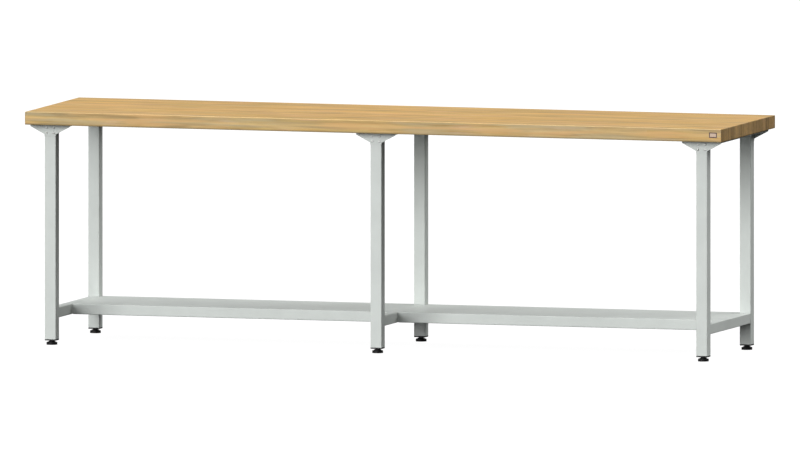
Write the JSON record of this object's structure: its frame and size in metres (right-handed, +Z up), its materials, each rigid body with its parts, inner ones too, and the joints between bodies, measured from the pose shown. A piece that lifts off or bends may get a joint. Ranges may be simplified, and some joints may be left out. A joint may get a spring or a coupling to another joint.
{
  "type": "workbench",
  "caption": "Long workbench with a solid wood worktop on square tube steel frames, folded sheet shelves near the floor and screw-adjusted levelling feet.",
  "frame": {"origin": "on the floor, under the middle of the worktop", "axes": "+X to the right along the worktop's length, +Y from the front to the back, +Z up"},
  "size_m": [2.8, 0.7, 0.9],
  "materials": {
    "worktop": "oiled solid beech, glued from staves",
    "frame_paint": "light grey powder coat, fine satin texture",
    "black_plastic": "moulded, matt",
    "zinc_steel": "bright zinc plate",
    "black_steel": "black zinc plate"
  },
  "bodies": {
    "bench": {"worktop": "worktop", "leg_front_left": "frame_paint", "leg_front_middle": "frame_paint", "leg_front_right": "frame_paint", "leg_rear_left": "frame_paint", "leg_rear_middle": "frame_paint", "leg_rear_right": "frame_paint", "crossbar_left": "frame_paint", "crossbar_middle": "frame_paint", "crossbar_right": "frame_paint", "top_bracket_left": "frame_paint", "top_bracket_middle": "frame_paint", "top_bracket_right": "frame_paint", "shelf_left": "frame_paint", "shelf_right": "frame_paint", "shelf_stiffener_left": "frame_paint", "shelf_stiffener_right": "frame_paint", "end_cap_front_left": "black_plastic", "end_cap_front_middle": "black_plastic", "end_cap_front_right": "black_plastic", "end_cap_rear_left": "black_plastic", "end_cap_rear_middle": "black_plastic", "end_cap_rear_right": "black_plastic", "foot_nuts": "zinc_steel", "bracket_screws": "zinc_steel", "bracket_nuts": "zinc_steel", "worktop_screws": "zinc_steel", "shelf_screws": "zinc_steel"},
    "pad_front_left": {"foot_pad_front_left": "black_plastic"},
    "spindle_front_left": {"foot_spindle_front_left": "black_steel"},
    "pad_front_middle": {"foot_pad_front_middle": "black_plastic"},
    "spindle_front_middle": {"foot_spindle_front_middle": "black_steel"},
    "pad_front_right": {"foot_pad_front_right": "black_plastic"},
    "spindle_front_right": {"foot_spindle_front_right": "black_steel"},
    "pad_rear_left": {"foot_pad_rear_left": "black_plastic"},
    "spindle_rear_left": {"foot_spindle_rear_left": "black_steel"},
    "pad_rear_middle": {"foot_pad_rear_middle": "black_plastic"},
    "spindle_rear_middle": {"foot_spindle_rear_middle": "black_steel"},
    "pad_rear_right": {"foot_pad_rear_right": "black_plastic"},
    "spindle_rear_right": {"foot_spindle_rear_right": "black_steel"}
  },
  "joints": [
    {"name": "foot_height_front_left", "type": "slide", "parent": "bench", "child": "pad_front_left", "axis": [0, 0, 1], "range_m": [-0.021, 0]},
    {"name": "foot_turn_front_left", "type": "hinge", "parent": "pad_front_left", "child": "spindle_front_left", "pos_m": [-1.31, -0.29, 0], "axis": [0, 0, 1], "range_deg": [-4320, 0]},
    {"name": "foot_height_front_middle", "type": "slide", "parent": "bench", "child": "pad_front_middle", "axis": [0, 0, 1], "range_m": [-0.021, 0]},
    {"name": "foot_turn_front_middle", "type": "hinge", "parent": "pad_front_middle", "child": "spindle_front_middle", "pos_m": [0, -0.29, 0], "axis": [0, 0, 1], "range_deg": [-4320, 0]},
    {"name": "foot_height_front_right", "type": "slide", "parent": "bench", "child": "pad_front_right", "axis": [0, 0, 1], "range_m": [-0.021, 0]},
    {"name": "foot_turn_front_right", "type": "hinge", "parent": "pad_front_right", "child": "spindle_front_right", "pos_m": [1.31, -0.29, 0], "axis": [0, 0, 1], "range_deg": [-4320, 0]},
    {"name": "foot_height_rear_left", "type": "slide", "parent": "bench", "child": "pad_rear_left", "axis": [0, 0, 1], "range_m": [-0.021, 0]},
    {"name": "foot_turn_rear_left", "type": "hinge", "parent": "pad_rear_left", "child": "spindle_rear_left", "pos_m": [-1.31, 0.275, 0], "axis": [0, 0, 1], "range_deg": [-4320, 0]},
    {"name": "foot_height_rear_middle", "type": "slide", "parent": "bench", "child": "pad_rear_middle", "axis": [0, 0, 1], "range_m": [-0.021, 0]},
    {"name": "foot_turn_rear_middle", "type": "hinge", "parent": "pad_rear_middle", "child": "spindle_rear_middle", "pos_m": [0, 0.275, 0], "axis": [0, 0, 1], "range_deg": [-4320, 0]},
    {"name": "foot_height_rear_right", "type": "slide", "parent": "bench", "child": "pad_rear_right", "axis": [0, 0, 1], "range_m": [-0.021, 0]},
    {"name": "foot_turn_rear_right", "type": "hinge", "parent": "pad_rear_right", "child": "spindle_rear_right", "pos_m": [1.31, 0.275, 0], "axis": [0, 0, 1], "range_deg": [-4320, 0]}
  ],
  "couplings": [
    {"joint": "foot_turn_front_left", "follows": "foot_height_front_left", "rad_per_m": 3590.4},
    {"joint": "foot_turn_front_middle", "follows": "foot_height_front_middle", "rad_per_m": 3590.4},
    {"joint": "foot_turn_front_right", "follows": "foot_height_front_right", "rad_per_m": 3590.4},
    {"joint": "foot_turn_rear_left", "follows": "foot_height_rear_left", "rad_per_m": 3590.4},
    {"joint": "foot_turn_rear_middle", "follows": "foot_height_rear_middle", "rad_per_m": 3590.4},
    {"joint": "foot_turn_rear_right", "follows": "foot_height_rear_right", "rad_per_m": 3590.4}
  ]
}
